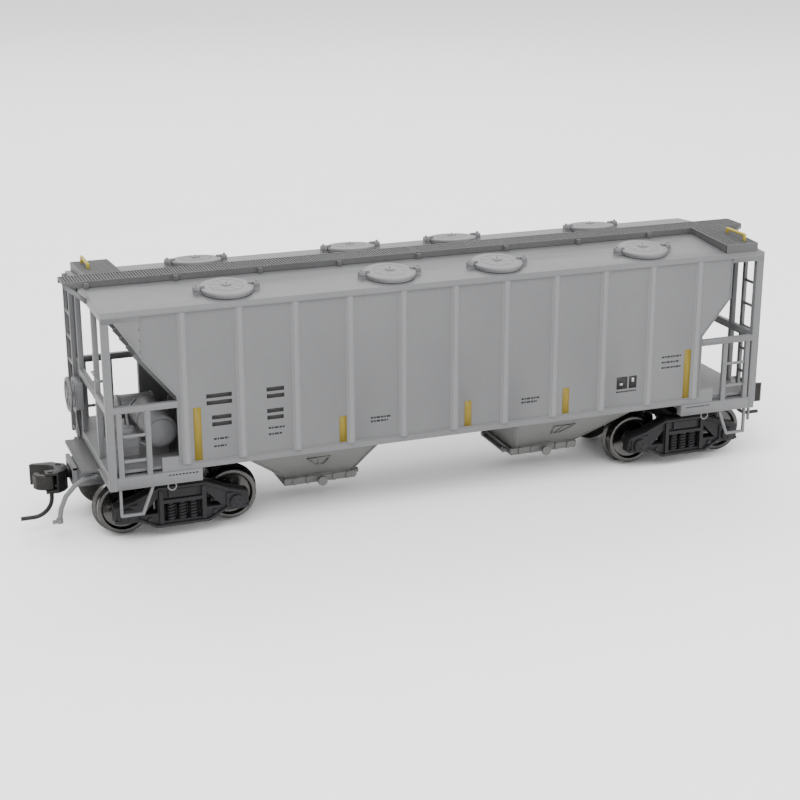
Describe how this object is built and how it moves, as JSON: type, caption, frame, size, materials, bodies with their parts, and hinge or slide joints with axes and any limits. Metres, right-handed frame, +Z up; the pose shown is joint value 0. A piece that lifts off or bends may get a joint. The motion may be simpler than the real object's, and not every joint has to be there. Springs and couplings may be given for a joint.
{
  "type": "model covered hopper wagon",
  "caption": "Scale model of a covered hopper wagon: ribbed hollow body with hatches, roof walk and end ladders, tapered bays beneath, swivelling trucks with rolling wheelsets, knuckle couplers.",
  "frame": {"origin": "middle of the wagon at the lowest point of the wheel flanges, 0.65 mm under the rail top", "axes": "+X along the wagon towards the plain end (the brake gear is at -X), Y across, +Z up"},
  "size_m": [0.1608, 0.0348, 0.0479],
  "materials": {
    "body_grey": "satin painted light grey",
    "roof_grey": "satin painted light grey",
    "bay_grey": "satin painted grey",
    "walkway_grey": "satin grey grating",
    "truck_black": "semi-matt black moulded plastic",
    "wheel_metal": "turned nickel-plated metal",
    "axle_steel": "turned steel",
    "coupler_metal": "dark blackened cast metal",
    "grab_yellow": "satin yellow",
    "screw_steel": "plain steel",
    "weight_steel": "bare steel block"
  },
  "bodies": {
    "car_body": {"air_hoses": "body_grey", "air_reservoir": "body_grey", "ballast_weight": "weight_steel", "body_shell": "body_grey", "brake_cylinder": "body_grey", "brake_housing": "body_grey", "brake_piping": "body_grey", "brake_wheel": "body_grey", "control_valve": "body_grey", "draft_box_lids": "body_grey", "end_frame_a": "body_grey", "end_frame_b": "body_grey", "end_ladder_a": "body_grey", "end_ladder_b": "body_grey", "floor_panel": "body_grey", "hatch_clamps": "roof_grey", "hatch_cover_1": "roof_grey", "hatch_cover_2": "roof_grey", "hatch_cover_3": "roof_grey", "hatch_cover_4": "roof_grey", "hatch_cover_5": "roof_grey", "hatch_cover_6": "roof_grey", "hatch_cover_7": "roof_grey", "hatch_cover_8": "roof_grey", "hopper_bay_a": "bay_grey", "hopper_bay_b": "bay_grey", "mounting_screws": "screw_steel", "outlet_gate_a": "bay_grey", "outlet_gate_b": "bay_grey", "roof_grab_irons": "grab_yellow", "roofwalk_a": "walkway_grey", "roofwalk_b": "walkway_grey", "roofwalk_saddles": "walkway_grey", "side_handholds": "body_grey", "step_board_a": "walkway_grey", "step_board_b": "walkway_grey", "stirrup_steps": "body_grey", "uncoupling_levers": "body_grey", "underframe": "body_grey"},
    "truck_a": {"truck_bolster_a": "truck_black", "sideframe_a_near": "truck_black", "sideframe_a_far": "truck_black"},
    "truck_b": {"truck_bolster_b": "truck_black", "sideframe_b_near": "truck_black", "sideframe_b_far": "truck_black"},
    "wheelset_1": {"axle_1": "axle_steel", "wheels_1": "wheel_metal"},
    "wheelset_2": {"axle_2": "axle_steel", "wheels_2": "wheel_metal"},
    "wheelset_3": {"axle_3": "axle_steel", "wheels_3": "wheel_metal"},
    "wheelset_4": {"axle_4": "axle_steel", "wheels_4": "wheel_metal"},
    "coupler_body_a": {"coupler_a": "coupler_metal"},
    "coupler_body_b": {"coupler_b": "coupler_metal"},
    "knuckle_body_a": {"knuckle_a": "coupler_metal", "trip_pin_a": "coupler_metal"},
    "knuckle_body_b": {"knuckle_b": "coupler_metal", "trip_pin_b": "coupler_metal"}
  },
  "joints": [
    {"name": "truck_a_swivel", "type": "hinge", "parent": "car_body", "child": "truck_a", "pos_m": [0.0525, 0, 0.0105], "axis": [0, 0, 1], "range_deg": [-8, 8]},
    {"name": "truck_b_swivel", "type": "hinge", "parent": "car_body", "child": "truck_b", "pos_m": [-0.0525, 0, 0.0105], "axis": [0, 0, 1], "range_deg": [-8, 8]},
    {"name": "wheelset_1_roll", "type": "hinge", "parent": "truck_a", "child": "wheelset_1", "pos_m": [0.0423, 0, 0.0055], "axis": [0, 1, 0], "continuous": true},
    {"name": "wheelset_2_roll", "type": "hinge", "parent": "truck_a", "child": "wheelset_2", "pos_m": [0.0627, 0, 0.0055], "axis": [0, 1, 0], "continuous": true},
    {"name": "wheelset_3_roll", "type": "hinge", "parent": "truck_b", "child": "wheelset_3", "pos_m": [-0.0627, 0, 0.0055], "axis": [0, 1, 0], "continuous": true},
    {"name": "wheelset_4_roll", "type": "hinge", "parent": "truck_b", "child": "wheelset_4", "pos_m": [-0.0423, 0, 0.0055], "axis": [0, 1, 0], "continuous": true},
    {"name": "coupler_a_swing", "type": "hinge", "parent": "car_body", "child": "coupler_body_a", "pos_m": [0.0635, 0, 0.0105], "axis": [0, 0, 1], "range_deg": [-10, 10], "stiffness_Nm_per_rad": 0.002},
    {"name": "knuckle_a_open", "type": "hinge", "parent": "coupler_body_a", "child": "knuckle_body_a", "pos_m": [0.0745, 0.0024, 0.0105], "axis": [0, 0, 1], "range_deg": [0, 25], "stiffness_Nm_per_rad": 0.0005},
    {"name": "coupler_b_swing", "type": "hinge", "parent": "car_body", "child": "coupler_body_b", "pos_m": [-0.0635, 0, 0.0105], "axis": [0, 0, 1], "range_deg": [-10, 10], "stiffness_Nm_per_rad": 0.002},
    {"name": "knuckle_b_open", "type": "hinge", "parent": "coupler_body_b", "child": "knuckle_body_b", "pos_m": [-0.0745, -0.0024, 0.0105], "axis": [0, 0, 1], "range_deg": [0, 25], "stiffness_Nm_per_rad": 0.0005}
  ]
}
